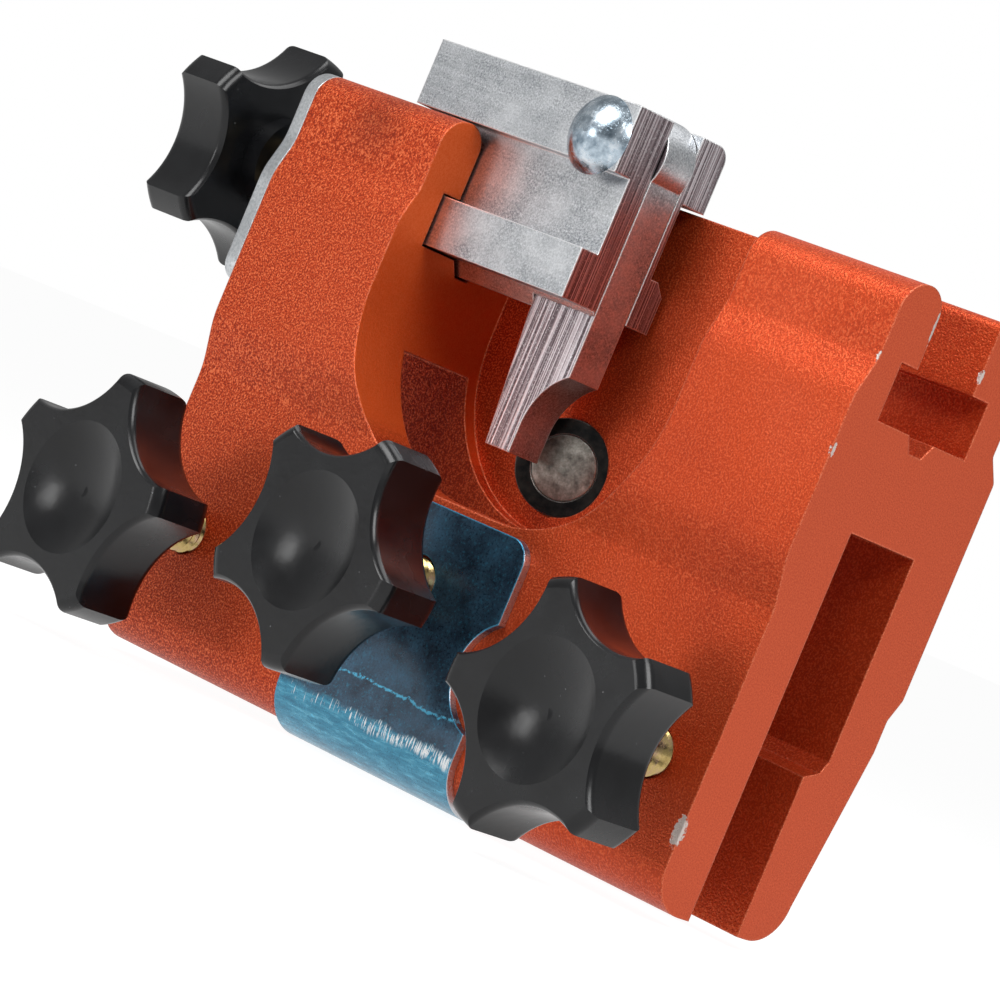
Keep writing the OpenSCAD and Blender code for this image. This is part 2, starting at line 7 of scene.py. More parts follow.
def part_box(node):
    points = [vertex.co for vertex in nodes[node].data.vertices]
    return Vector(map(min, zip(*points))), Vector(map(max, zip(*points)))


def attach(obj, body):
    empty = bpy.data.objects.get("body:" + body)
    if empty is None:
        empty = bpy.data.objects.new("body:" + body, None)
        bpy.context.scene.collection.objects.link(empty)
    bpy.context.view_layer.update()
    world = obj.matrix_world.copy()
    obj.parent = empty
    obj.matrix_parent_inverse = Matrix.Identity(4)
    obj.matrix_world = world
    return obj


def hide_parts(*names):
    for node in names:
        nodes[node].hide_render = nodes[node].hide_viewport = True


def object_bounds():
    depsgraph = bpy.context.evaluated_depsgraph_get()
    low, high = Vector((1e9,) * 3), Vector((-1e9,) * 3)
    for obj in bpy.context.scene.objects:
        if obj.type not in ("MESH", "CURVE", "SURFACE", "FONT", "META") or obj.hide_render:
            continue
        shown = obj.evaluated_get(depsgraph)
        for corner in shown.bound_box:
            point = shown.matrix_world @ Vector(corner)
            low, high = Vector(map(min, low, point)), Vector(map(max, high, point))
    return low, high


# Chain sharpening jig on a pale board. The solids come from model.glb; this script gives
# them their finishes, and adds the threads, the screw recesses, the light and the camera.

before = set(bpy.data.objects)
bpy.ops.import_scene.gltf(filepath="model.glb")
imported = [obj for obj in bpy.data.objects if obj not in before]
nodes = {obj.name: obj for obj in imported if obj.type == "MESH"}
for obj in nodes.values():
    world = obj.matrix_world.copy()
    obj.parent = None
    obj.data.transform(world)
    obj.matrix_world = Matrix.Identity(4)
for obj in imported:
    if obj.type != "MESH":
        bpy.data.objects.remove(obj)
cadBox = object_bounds()
millimetre = 0.001
print("frame loaded:", len(nodes), "nodes")


def hexColour(code):
    # sRGB hex to the linear values that the shaders take
    channels = [int(code[i:i + 2], 16) / 255 for i in (1, 3, 5)]
    linear = [c / 12.92 if c <= 0.04045 else ((c + 0.055) / 1.055) ** 2.4 for c in channels]
    return (*linear, 1.0)


def addNode(tree, kind, settings=None, links=None):
    # one shader node: settings are properties or unlinked inputs, links are nodes or sockets to plug in
    node = tree.nodes.new("ShaderNode" + kind)
    for key, value in (settings or {}).items():
        if key == "stops":
            points = node.color_ramp.elements
            while len(points) < len(value):
                points.new(0.5)
            for point, (place, code) in zip(points, value):
                point.position, point.color = place, hexColour(code)
        elif isinstance(key, str) and hasattr(node, key):
            setattr(node, key, value)
        else:
            node.inputs[key].default_value = value
    for key, source in (links or {}).items():
        tree.links.new(source.outputs[0] if hasattr(source, "outputs") else source, node.inputs[key])
    return node


def startMaterial(name, shader):
    # an empty material, its shader, and its coordinates in millimetres
    material = bpy.data.materials.new(name)
    material.use_nodes = True
    tree = material.node_tree
    tree.nodes.clear()
    surface = addNode(tree, "BsdfPrincipled", shader)
    addNode(tree, "OutputMaterial", links={"Surface": surface})
    place = addNode(tree, "TexCoord").outputs["Object"]
    millimetres = addNode(tree, "VectorMath", {"operation": "SCALE", "Scale": 1000.0}, {0: place})
    return material, tree, surface, millimetres


def dress(names, material):
    for name in names:
        for slot in nodes[name].material_slots:
            slot.material = material
        if not nodes[name].material_slots:
            nodes[name].data.materials.append(material)


def roundedEdges(tree, radius):
    # a softened normal, and a mask that is 1 along the sharp edges
    rounded = addNode(tree, "Bevel", {"samples": 6, "Radius": radius})
    flat = addNode(tree, "NewGeometry").outputs["Normal"]
    along = addNode(tree, "VectorMath", {"operation": "DOT_PRODUCT"}, {0: rounded, 1: flat})
    return rounded, addNode(tree, "MapRange", {1: 0.99, 2: 0.93}, {0: along.outputs["Value"]})


# body

bodyFinish = {
    "face": "#c4451a", "light": "#ee7848", "deep": "#8c270b",  # the dye, and its light and dark sparkle
    "rich": "#b23b17", "faded": "#c94d28",                     # what the dye drifts between
    "cut": "#c84f30", "wall": "#df591d",                       # the sawn ends and the milled walls
    # worn: the paler colour on the sharp edges, partly thinner anodising and partly painted highlight
    "bare": "#d8cbc4", "worn": "#ec8a66", "grease": "#5c2518",
    "grain": 0.25, "grainDepth": 0.09,    # mm: bead marks, and how deep they are
    "dust": 0.2, "cloud": 16.0,           # mm: specks on the milled walls, and the drift of the dye
    "nick": 0.625, "edgeRadius": 0.35,    # mm: raggedness of the chips, and the softened edges
    "sawnFrom": 46.0, "sawnTo": 48.0,     # mm from the middle, where the colour of the sawn ends sets in
    "strongEnd": -45.0, "weakEnd": 30.0,  # x in mm between which the blast weakens
    "smudge": (-38.0, -11.0, 70.5),       # middle in mm of a greasy mark on the left horn
    "smudgeReach": 6.0,                   # mm
    "chips": [  # middle in mm, and how far each reaches along x, y and z
        ((49.6, -11.2, 9.0), (1.0, 0.9, 2.3)),
        ((49.8, -11.8, 65.0), (0.5, 0.6, 1.0)),
        ((49.8, -12.5, 53.5), (0.5, 0.4, 1.2)),
        ((49.9, -4.8, 70.3), (0.4, 0.3, 2.6)),
        ((49.9, 5.9, 67.5), (0.5, 0.4, 1.0)),
    ],
}


def beadBlastedAnodised(spec):
    # dyed and sealed aluminium: an even sparkle of fine bead marks on the drawn faces,
    # smooth where it was milled
    material, tree, surface, place = startMaterial("beadBlastedAnodised", {
        "Metallic": 0.6, "Roughness": 0.45, "Specular IOR Level": 0.35})
    rounded, edge = roundedEdges(tree, spec["edgeRadius"] * millimetre)
    facing = addNode(tree, "SeparateXYZ", links={0: addNode(tree, "NewGeometry").outputs["True Normal"]})
    sideways = addNode(tree, "Math", {"operation": "ABSOLUTE"}, {0: facing.outputs["X"]})
    milled = addNode(tree, "MapRange", {1: 0.55, 2: 0.7}, {0: sideways})
    axes = addNode(tree, "SeparateXYZ", links={0: place})
    outward = addNode(tree, "Math", {"operation": "ABSOLUTE"}, {0: axes.outputs["X"]})
    sawnEnd = addNode(tree, "MapRange", {1: spec["sawnFrom"], 2: spec["sawnTo"]}, {0: outward})
    grain = addNode(tree, "TexNoise", {"Scale": 1 / spec["grain"], "Detail": 1.0, "Roughness": 0.6},
                    {"Vector": place})
    fine = addNode(tree, "TexNoise", {"Scale": 1 / spec["dust"], "Detail": 1.0}, {"Vector": place})
    cloud = addNode(tree, "TexNoise", {"Scale": 1 / spec["cloud"], "Detail": 2.0}, {"Vector": place})
    stops = [(0.3, spec["rich"]), (0.5, spec["face"]), (0.72, spec["faded"])]
    tone = addNode(tree, "ValToRGB", {"stops": stops}, {"Fac": cloud})
    stops = [(0.36, spec["deep"]), (0.52, spec["face"]), (0.66, spec["light"])]
    sparkle = addNode(tree, "ValToRGB", {"stops": stops}, {"Fac": grain})
    # the blast was stronger at the left end
    coarse = addNode(tree, "MapRange", {1: spec["strongEnd"], 2: spec["weakEnd"], 3: 0.9, 4: 0.35},
                     {0: axes.outputs["X"]})
    skin = addNode(tree, "Mix", {"data_type": "RGBA"}, {0: coarse, 6: tone, 7: sparkle})
    greasy = addNode(tree, "VectorMath", {"operation": "DISTANCE", 1: spec["smudge"]}, {0: place})
    greasy = addNode(tree, "MapRange", {1: spec["smudgeReach"], 2: 1.0, 4: 0.35},
                     {0: greasy.outputs["Value"]})
    skin = addNode(tree, "Mix", {"data_type": "RGBA", 7: hexColour(spec["grease"])},
                   {0: greasy, 6: skin.outputs[2]})
    dusty = addNode(tree, "MapRange", {1: 0.35, 2: 0.65, 4: 0.35}, {0: fine})
    cut = addNode(tree, "Mix", {"data_type": "RGBA", 6: hexColour(spec["wall"]), 7: hexColour(spec["cut"])},
                  {0: sawnEnd})
    cut = addNode(tree, "Mix", {"data_type": "RGBA", 7: hexColour(spec["light"])},
                  {0: dusty, 6: cut.outputs[2]})
    colour = addNode(tree, "Mix", {"data_type": "RGBA"}, {0: milled, 6: skin.outputs[2], 7: cut.outputs[2]})
    patchy = addNode(tree, "MapRange", {1: 0.4, 2: 0.6, 4: 0.8}, {0: fine})
    # paler patches along the sharp edges: partly thinner anodising, partly painted highlight
    worn = addNode(tree, "Math", {"operation": "MULTIPLY"}, {0: edge, 1: patchy})
    colour = addNode(tree, "Mix", {"data_type": "RGBA", 7: hexColour(spec["worn"])},
                     {0: worn, 6: colour.outputs[2]})
    # bare metal where the edges were knocked: a ragged ball squeezed to each chip's reach
    ragged = addNode(tree, "TexNoise", {"Scale": 1 / spec["nick"], "Detail": 4.0, "Roughness": 0.7},
                     {"Vector": place})
    chips = None
    for middle, reach in spec["chips"]:
        away = addNode(tree, "VectorMath", {"operation": "SUBTRACT", 1: middle}, {0: place})
        away = addNode(tree, "VectorMath", {"operation": "DIVIDE", 1: reach}, {0: away})
        away = addNode(tree, "VectorMath", {"operation": "LENGTH"}, {0: away})
        bent = addNode(tree, "Math", {"operation": "MULTIPLY_ADD", 1: 1.6},
                       {0: ragged, 2: away.outputs["Value"]})
        chip = addNode(tree, "MapRange", {1: 1.6, 2: 1.5}, {0: bent})
        chips = chip if chips is None else addNode(tree, "Math", {"operation": "MAXIMUM"},
                                                   {0: chips, 1: chip})
    colour = addNode(tree, "Mix", {"data_type": "RGBA", 7: hexColour(spec["bare"])},
                     {0: chips, 6: colour.outputs[2]})
    tree.links.new(colour.outputs[2], surface.inputs["Base Color"])
    rough = addNode(tree, "MapRange", {1: 0.3, 2: 0.7, 3: 0.52, 4: 0.38}, {0: grain})
    tree.links.new(rough.outputs[0], surface.inputs["Roughness"])
    quiet = addNode(tree, "MapRange", {3: 1.0, 4: 0.3}, {0: milled})
    height = addNode(tree, "Math", {"operation": "MULTIPLY"}, {0: grain, 1: quiet})
    height = addNode(tree, "Math", {"operation": "MULTIPLY_ADD", 1: -0.7}, {0: chips, 2: height})
    bump = addNode(tree, "Bump", {"Distance": spec["grainDepth"] * millimetre},
                   {"Height": height, "Normal": rounded})
    tree.links.new(bump.outputs[0], surface.inputs["Normal"])
    return material


dress(["body"], beadBlastedAnodised(bodyFinish))
print("body finished")

# stop block and its swinging arm

stopFinish = {
    "metal": "#b4b7bb", "light": "#e6e8ea", "dark": "#777b80", "edge": "#f6f7f8",
    "sawn": ["#665b5f", "#93878b", "#d8d0d4"],
    "pit": 0.24, "sawPitch": 0.2, "cloud": 4.545, "edgeRadius": 0.3,  # mm
    "streak": 20.0, "streakWidth": 1 / 3, "sawLength": 100 / 3,       # mm: drawing streaks, and each saw mark
    "pitDepth": 0.012, "sawDepth": 0.04,                              # mm
}


def rawAluminium(spec, name, sawnAxis):
    # raw extruded bar: satin and finely pitted as it was drawn, with rows of saw marks where it was cut
    material, tree, surface, place = startMaterial(name, {"Metallic": 1.0, "Roughness": 0.38})
    rounded, edge = roundedEdges(tree, spec["edgeRadius"] * millimetre)
    facing = addNode(tree, "SeparateXYZ", links={0: addNode(tree, "NewGeometry").outputs["True Normal"]})
    along = addNode(tree, "Math", {"operation": "ABSOLUTE"}, {0: facing.outputs[sawnAxis]})
    sawn = addNode(tree, "MapRange", {1: 0.8, 2: 0.95}, {0: along})
    pits = addNode(tree, "TexNoise", {"Scale": 1 / spec["pit"], "Detail": 3.0, "Roughness": 0.7},
                   {"Vector": place})
    cloud = addNode(tree, "TexNoise", {"Scale": 1 / spec["cloud"], "Detail": 2.0}, {"Vector": place})
    narrow = 1 / spec["streakWidth"]
    stretched = addNode(tree, "Mapping", {"Scale": (1 / spec["streak"], narrow, narrow)}, {"Vector": place})
    drawn = addNode(tree, "TexNoise", {"Scale": 1.0, "Detail": 2.0, "Roughness": 0.6}, {"Vector": stretched})
    close = 1 / spec["sawPitch"]
    across = addNode(tree, "Mapping", {"Scale": (close, close, 1 / spec["sawLength"])}, {"Vector": place})
    teeth = addNode(tree, "TexNoise", {"Scale": 1.0, "Detail": 1.5, "Roughness": 0.6}, {"Vector": across})
    stops = [(0.36, spec["dark"]), (0.5, spec["metal"]), (0.66, spec["light"])]
    satin = addNode(tree, "ValToRGB", {"stops": stops}, {"Fac": pits})
    streaks = addNode(tree, "MapRange", {1: 0.35, 2: 0.65, 4: 0.35}, {0: drawn})
    satin = addNode(tree, "Mix", {"data_type": "RGBA", 7: hexColour(spec["dark"])},
                    {0: streaks, 6: satin}).outputs[2]
    lighter = addNode(tree, "MapRange", {1: 0.35, 2: 0.7, 4: 0.5}, {0: cloud})
    satin = addNode(tree, "Mix", {"data_type": "RGBA", 7: hexColour(spec["light"])}, {0: lighter, 6: satin})
    lines = addNode(tree, "ValToRGB", {"stops": list(zip((0.4, 0.5, 0.62), spec["sawn"]))}, {"Fac": teeth})
    speck = addNode(tree, "MapRange", {1: 0.55, 2: 0.7, 4: 0.5}, {0: pits})
    lines = addNode(tree, "Mix", {"data_type": "RGBA", 7: hexColour(spec["edge"])},
                    {0: speck, 6: lines}).outputs[2]
    colour = addNode(tree, "Mix", {"data_type": "RGBA"}, {0: sawn, 6: satin.outputs[2], 7: lines})
    colour = addNode(tree, "Mix", {"data_type": "RGBA", 7: hexColour(spec["edge"])},
                     {0: edge, 6: colour.outputs[2]})
    tree.links.new(colour.outputs[2], surface.inputs["Base Color"])
    rough = addNode(tree, "MapRange", {1: 0.3, 2: 0.7, 3: 0.48, 4: 0.3}, {0: pits})
    tree.links.new(rough.outputs[0], surface.inputs["Roughness"])
    height = addNode(tree, "Math", {"operation": "MULTIPLY"}, {0: teeth, 1: sawn})
    height = addNode(tree, "Math", {"operation": "MULTIPLY_ADD", 1: 0.15}, {0: drawn, 2: height})
    height = addNode(tree, "Math", {"operation": "MULTIPLY_ADD", 1: spec["pitDepth"] / spec["sawDepth"]},
                     {0: pits, 2: height})
    bump = addNode(tree, "Bump", {"Distance": spec["sawDepth"] * millimetre},
                   {"Height": height, "Normal": rounded})
    tree.links.new(bump.outputs[0], surface.inputs["Normal"])
    return material


dress(["slide_block"], rawAluminium(stopFinish, "drawnAluminium", "X"))
dress(["pawl"], rawAluminium(stopFinish, "sawnAluminium", "Y"))
print("stop finished")

# rivet, plate and plain screws

zincFinish = {
    "metal": "#b4c2cd", "dark": "#5b6d7b", "light": "#edf2f6",
    "scratch": 0.25, "cloud": 2.22, "dent": 0.03,  # mm: scratches, soft dents, and how deep the dents are
}


def brightZinc(spec):
    # bluish zinc plating on a pressed head: bright, with soft dents and hairline scratches
    material, tree, surface, place = startMaterial("brightZinc", {"Metallic": 1.0, "Roughness": 0.22})
    cloud = addNode(tree, "TexNoise", {"Scale": 1 / spec["cloud"], "Detail": 3.0, "Roughness": 0.6},
                    {"Vector": place})
    hairs = None
    for stretch in ((1.0, 1.0, 0.1), (0.12, 1.0, 1.0)):
        turned = addNode(tree, "Mapping", {"Scale": stretch, "Rotation": (0.4, 0.3, 0.2)}, {"Vector": place})
        hair = addNode(tree, "TexNoise", {"Scale": 1 / spec["scratch"], "Detail": 2.0, "Roughness": 0.6},
                       {"Vector": turned})
        thin = addNode(tree, "MapRange", {1: 0.63, 2: 0.73}, {0: hair})
        hairs = thin if hairs is None else addNode(tree, "Math", {"operation": "MAXIMUM"},
                                                   {0: hairs, 1: thin})
    stops = [(0.3, spec["dark"]), (0.55, spec["metal"]), (0.75, spec["light"])]
    colour = addNode(tree, "ValToRGB", {"stops": stops}, {"Fac": cloud})
    tree.links.new(colour.outputs[0], surface.inputs["Base Color"])
    rough = addNode(tree, "MapRange", {1: 0.3, 2: 0.7, 3: 0.16, 4: 0.32}, {0: cloud})
    rough = addNode(tree, "Math", {"operation": "MULTIPLY_ADD", 1: 0.15}, {0: hairs, 2: rough})
    tree.links.new(rough.outputs[0], surface.inputs["Roughness"])
    height = addNode(tree, "Math", {"operation": "MULTIPLY_ADD", 1: -0.4}, {0: hairs, 2: cloud})
    bump = addNode(tree, "Bump", {"Distance": spec["dent"] * millimetre}, {"Height": height})
    tree.links.new(bump.outputs[0], surface.inputs["Normal"])
    return material


zinc = brightZinc(zincFinish)
dress(["pawl_rivet", "end_screw_front", "end_screw_rear", "feed_collar"], zinc)

plateFinish = {
    "dark": "#adb1b4", "light": "#e0e2e4", "stain": "#94989b",
    "grain": 0.4, "cloud": 6.25, "grainDepth": 0.01, "edgeRadius": 0.3,  # mm
}


def rolledSteel(spec):
    # cold-rolled sheet: a fine lengthwise grain and a dull shine
    material, tree, surface, place = startMaterial("rolledSteel", {"Metallic": 1.0, "Roughness": 0.34})
    rounded = addNode(tree, "Bevel", {"samples": 4, "Radius": spec["edgeRadius"] * millimetre})
    stretched = addNode(tree, "Mapping", {"Scale": (1.0, 0.1, 1.0)}, {"Vector": place})
    grain = addNode(tree, "TexNoise", {"Scale": 1 / spec["grain"], "Detail": 3.0, "Roughness": 0.6},
                    {"Vector": stretched})
    cloud = addNode(tree, "TexNoise", {"Scale": 1 / spec["cloud"], "Detail": 2.0}, {"Vector": place})
    stops = [(0.3, spec["dark"]), (0.7, spec["light"])]
    streaks = addNode(tree, "ValToRGB", {"stops": stops}, {"Fac": grain})
    stain = addNode(tree, "MapRange", {1: 0.4, 2: 0.7, 4: 0.4}, {0: cloud})
    colour = addNode(tree, "Mix", {"data_type": "RGBA", 7: hexColour(spec["stain"])}, {0: stain, 6: streaks})
    tree.links.new(colour.outputs[2], surface.inputs["Base Color"])
    rough = addNode(tree, "MapRange", {1: 0.3, 2: 0.7, 3: 0.42, 4: 0.28}, {0: grain})
    tree.links.new(rough.outputs[0], surface.inputs["Roughness"])
    bump = addNode(tree, "Bump", {"Distance": spec["grainDepth"] * millimetre},
                   {"Height": grain, "Normal": rounded})
    tree.links.new(bump.outputs[0], surface.inputs["Normal"])
    return material


dress(["end_plate"], rolledSteel(plateFinish))
print("plate finished")

# blue clip

clipFinish = {
    "deep": "#213244", "mid": "#324b60", "blue": "#3d627c",     # the lacquer on the flat
    "rubbed": "#2c7593", "teal": "#3b8fae", "pale": "#6db8d0",  # the lacquer on the bend
    "rim": "#3f9cc4", "cyan": "#57bfe6", "steel": "#d4d7d9",
    "bendTop": 5.0,                     # height in mm where the worn bend starts
    "line": 9.0, "lineWidth": 0.24,     # height in mm of the long scratch, and half its width
    "wander": 1.2,                      # mm by which these heights stray
    "cloud": 3.33, "grit": 0.3125, "streak": 0.769, "edgeRadius": 0.3, "gritDepth": 0.01,  # mm
}


def bluedLacquer(spec):
    # thin blue lacquer on spring sheet: dark on the flat, rubbed to teal at the bend
    # and scratched through in places
    material, tree, surface, place = startMaterial("bluedLacquer", {
        "Metallic": 0.6, "Roughness": 0.3, "Coat Weight": 0.3, "Coat Roughness": 0.15})
    rounded, edge = roundedEdges(tree, spec["edgeRadius"] * millimetre)
    axes = addNode(tree, "SeparateXYZ", links={0: place})
    facing = addNode(tree, "SeparateXYZ", links={0: addNode(tree, "NewGeometry").outputs["True Normal"]})
    cloud = addNode(tree, "TexNoise", {"Scale": 1 / spec["cloud"], "Detail": 4.0, "Roughness": 0.65},
                    {"Vector": place})
    fine = addNode(tree, "TexNoise", {"Scale": 1 / spec["grit"], "Detail": 3.0, "Roughness": 0.7},
                   {"Vector": place})
    stretched = addNode(tree, "Mapping", {"Scale": (0.25, 1.0, 1.6)}, {"Vector": place})
    streak = addNode(tree, "TexNoise", {"Scale": 1 / spec["streak"], "Detail": 4.0, "Roughness": 0.75},
                     {"Vector": stretched})
    upright = addNode(tree, "Mapping", {"Scale": (4.0, 0.4, 0.4)}, {"Vector": place})
    hatch = addNode(tree, "TexNoise", {"Scale": 1.0, "Detail": 2.0, "Roughness": 0.6}, {"Vector": upright})
    wander = addNode(tree, "MapRange", {3: -spec["wander"], 4: spec["wander"]}, {0: cloud})
    level = addNode(tree, "Math", {"operation": "ADD"}, {0: axes.outputs["Z"], 1: wander})
    stops = [(0.32, spec["deep"]), (0.5, spec["mid"]), (0.7, spec["blue"])]
    flat = addNode(tree, "ValToRGB", {"stops": stops}, {"Fac": cloud})
    grit = addNode(tree, "MapRange", {1: 0.56, 2: 0.7, 4: 0.6}, {0: fine})
    flat = addNode(tree, "Mix", {"data_type": "RGBA", 7: hexColour(spec["teal"])}, {0: grit, 6: flat})
    stops = [(0.35, spec["rubbed"]), (0.52, spec["teal"]), (0.7, spec["pale"])]
    worn = addNode(tree, "ValToRGB", {"stops": stops}, {"Fac": streak})
    bend = addNode(tree, "MapRange", {1: spec["bendTop"] + 0.5, 2: spec["bendTop"] - 0.3}, {0: level})
    colour = addNode(tree, "Mix", {"data_type": "RGBA"}, {0: bend, 6: flat.outputs[2], 7: worn})
    colour = addNode(tree, "Mix", {"data_type": "RGBA", 7: hexColour(spec["rim"])},
                     {0: edge, 6: colour.outputs[2]})
    # a long scratch above the bend, and flecks on it
    offset = addNode(tree, "Math", {"operation": "SUBTRACT", 1: spec["line"]}, {0: level})
    offset = addNode(tree, "Math", {"operation": "ABSOLUTE"}, {0: offset})
    scratch = addNode(tree, "MapRange", {1: spec["lineWidth"], 2: spec["lineWidth"] / 2}, {0: offset})
    broken = addNode(tree, "MapRange", {1: 0.42, 2: 0.5, 4: 0.9}, {0: fine})
    scratch = addNode(tree, "Math", {"operation": "MULTIPLY"}, {0: scratch, 1: broken})
    flecks = addNode(tree, "MapRange", {1: 0.63, 2: 0.68, 4: 0.8}, {0: streak})
    flecks = addNode(tree, "Math", {"operation": "MULTIPLY"}, {0: flecks, 1: bend})
    pale = addNode(tree, "Math", {"operation": "MAXIMUM"}, {0: flecks, 1: scratch})
    colour = addNode(tree, "Mix", {"data_type": "RGBA", 7: hexColour(spec["cyan"])},
                     {0: pale, 6: colour.outputs[2]})
    # short upright scratches down to the steel where the bend starts, and bare steel on the cut sides
    rise = addNode(tree, "Math", {"operation": "SUBTRACT", 1: spec["bendTop"] - 0.4}, {0: level})
    rise = addNode(tree, "Math", {"operation": "ABSOLUTE"}, {0: rise})
    band = addNode(tree, "MapRange", {1: 0.9, 2: 0.4}, {0: rise})
    towards = addNode(tree, "MapRange", {1: -12.0, 2: 12.0, 3: 0.64, 4: 0.5}, {0: axes.outputs["X"]})
    marks = addNode(tree, "Math", {"operation": "GREATER_THAN"}, {0: hatch, 1: towards})
    marks = addNode(tree, "Math", {"operation": "MULTIPLY"}, {0: marks, 1: band})
    side = addNode(tree, "Math", {"operation": "ABSOLUTE"}, {0: facing.outputs["X"]})
    cutSide = addNode(tree, "MapRange", {1: 0.7, 2: 0.9, 4: 0.85}, {0: side})
    bare = addNode(tree, "Math", {"operation": "MAXIMUM"}, {0: marks, 1: cutSide})
    colour = addNode(tree, "Mix", {"data_type": "RGBA", 7: hexColour(spec["steel"])},
                     {0: bare, 6: colour.outputs[2]})
    tree.links.new(colour.outputs[2], surface.inputs["Base Color"])
    metal = addNode(tree, "MapRange", {3: 0.6, 4: 1.0}, {0: bare})
    tree.links.new(metal.outputs[0], surface.inputs["Metallic"])
    rough = addNode(tree, "MapRange", {1: 0.3, 2: 0.7, 3: 0.22, 4: 0.42}, {0: fine})
    tree.links.new(rough.outputs[0], surface.inputs["Roughness"])
    height = addNode(tree, "Math", {"operation": "MULTIPLY_ADD", 1: -1.2}, {0: pale, 2: fine})
    bump = addNode(tree, "Bump", {"Distance": spec["gritDepth"] * millimetre},
                   {"Height": height, "Normal": rounded})
    tree.links.new(bump.outputs[0], surface.inputs["Normal"])
    return material


dress(["clamp_clip"], bluedLacquer(clipFinish))
print("clip finished")

# cutter guide

oxideFinish = {
    # worn: the paler colour on the sharp edges, partly rubbed-off oxide and partly painted highlight
    "black": "#131415", "brown": "#322f2c", "worn": "#8f8a84",
    "cloud": 1.54, "grit": 0.2, "gritDepth": 0.012, "edgeRadius": 0.25,  # mm
}
rodFinish = {
    "dark": "#63615d", "grey": "#98978f", "light": "#c4c2ba", "brown": "#746b60", "worn": "#e4e2dc",
    "cloud": 1.667, "grit": 0.25, "gritDepth": 0.015, "edgeRadius": 0.3,  # mm
}
nylonFinish = {"dark": "#d3cdbb", "light": "#e6e1d3", "cloud": 2.0, "waviness": 0.02}  # mm


def blackOxide(spec):
    # black oxide on turned steel: nearly black, oily, brown where it is thin
    material, tree, surface, place = startMaterial("blackOxide", {"Metallic": 0.85, "Roughness": 0.35})
    rounded, edge = roundedEdges(tree, spec["edgeRadius"] * millimetre)
    cloud = addNode(tree, "TexNoise", {"Scale": 1 / spec["cloud"], "Detail": 4.0, "Roughness": 0.6},
                    {"Vector": place})
    fine = addNode(tree, "TexNoise", {"Scale": 1 / spec["grit"], "Detail": 2.0, "Roughness": 0.6},
                   {"Vector": place})
    stops = [(0.35, spec["black"]), (0.7, spec["brown"])]
    colour = addNode(tree, "ValToRGB", {"stops": stops}, {"Fac": cloud})
    # paler along the sharp edges: partly rubbed-off oxide, partly painted highlight
    colour = addNode(tree, "Mix", {"data_type": "RGBA", 7: hexColour(spec["worn"])}, {0: edge, 6: colour})
    tree.links.new(colour.outputs[2], surface.inputs["Base Color"])
    rough = addNode(tree, "MapRange", {1: 0.3, 2: 0.7, 3: 0.26, 4: 0.46}, {0: fine})
    tree.links.new(rough.outputs[0], surface.inputs["Roughness"])
    bump = addNode(tree, "Bump", {"Distance": spec["gritDepth"] * millimetre},
                   {"Height": fine, "Normal": rounded})
    tree.links.new(bump.outputs[0], surface.inputs["Normal"])
    return material


def groundSteel(spec):
    # ground tool-steel rod: dull grey, with a mottled and slightly brown end
    material, tree, surface, place = startMaterial("groundSteel", {"Metallic": 0.9, "Roughness": 0.42})
    rounded, edge = roundedEdges(tree, spec["edgeRadius"] * millimetre)
    cloud = addNode(tree, "TexNoise", {"Scale": 1 / spec["cloud"], "Detail": 5.0, "Roughness": 0.65},
                    {"Vector": place})
    fine = addNode(tree, "TexNoise", {"Scale": 1 / spec["grit"], "Detail": 3.0, "Roughness": 0.7},
                   {"Vector": place})
    stops = [(0.34, spec["dark"]), (0.5, spec["grey"]), (0.66, spec["light"])]
    grey = addNode(tree, "ValToRGB", {"stops": stops}, {"Fac": cloud})
    brown = addNode(tree, "MapRange", {1: 0.45, 2: 0.7, 4: 0.4}, {0: fine})
    colour = addNode(tree, "Mix", {"data_type": "RGBA", 7: hexColour(spec["brown"])}, {0: brown, 6: grey})
    colour = addNode(tree, "Mix", {"data_type": "RGBA", 7: hexColour(spec["worn"])},
                     {0: edge, 6: colour.outputs[2]})
    tree.links.new(colour.outputs[2], surface.inputs["Base Color"])
    rough = addNode(tree, "MapRange", {1: 0.3, 2: 0.7, 3: 0.36, 4: 0.55}, {0: fine})
    tree.links.new(rough.outputs[0], surface.inputs["Roughness"])
    bump = addNode(tree, "Bump", {"Distance": spec["gritDepth"] * millimetre},
                   {"Height": fine, "Normal": rounded})
    tree.links.new(bump.outputs[0], surface.inputs["Normal"])
    return material


def naturalNylon(spec):
    # turned nylon: milky, waxy and slightly see-through
    material, tree, surface, place = startMaterial("naturalNylon", {
        "Roughness": 0.42, "IOR": 1.53, "Subsurface Weight": 0.15, "Subsurface Scale": 0.001})
    cloud = addNode(tree, "TexNoise", {"Scale": 1 / spec["cloud"], "Detail": 3.0}, {"Vector": place})
    colour = addNode(tree, "ValToRGB", {"stops": [(0.3, spec["dark"]), (0.7, spec["light"])]}, {"Fac": cloud})
    tree.links.new(colour.outputs[0], surface.inputs["Base Color"])
    bump = addNode(tree, "Bump", {"Distance": spec["waviness"] * millimetre}, {"Height": cloud})
    tree.links.new(bump.outputs[0], surface.inputs["Normal"])
    return material


dress(["shaft_bush", "shaft_collar", "feed_ring"], blackOxide(oxideFinish))
dress(["drive_shaft"], groundSteel(rodFinish))
dress(["shaft_washer"], naturalNylon(nylonFinish))
print("cutter guide finished")

# star knobs

knobFinish = {
    "black": "#0b0b0d", "grey": "#161719", "dust": "#8b8d90",
    "ripple": 1.2, "rippleDepth": 0.015,  # mm
    "cloud": 5.88,                        # mm: drift of the gloss
    "dustSpacing": 1.667, "dusty": 4.0,   # mm: between specks, and the patches that have them
}


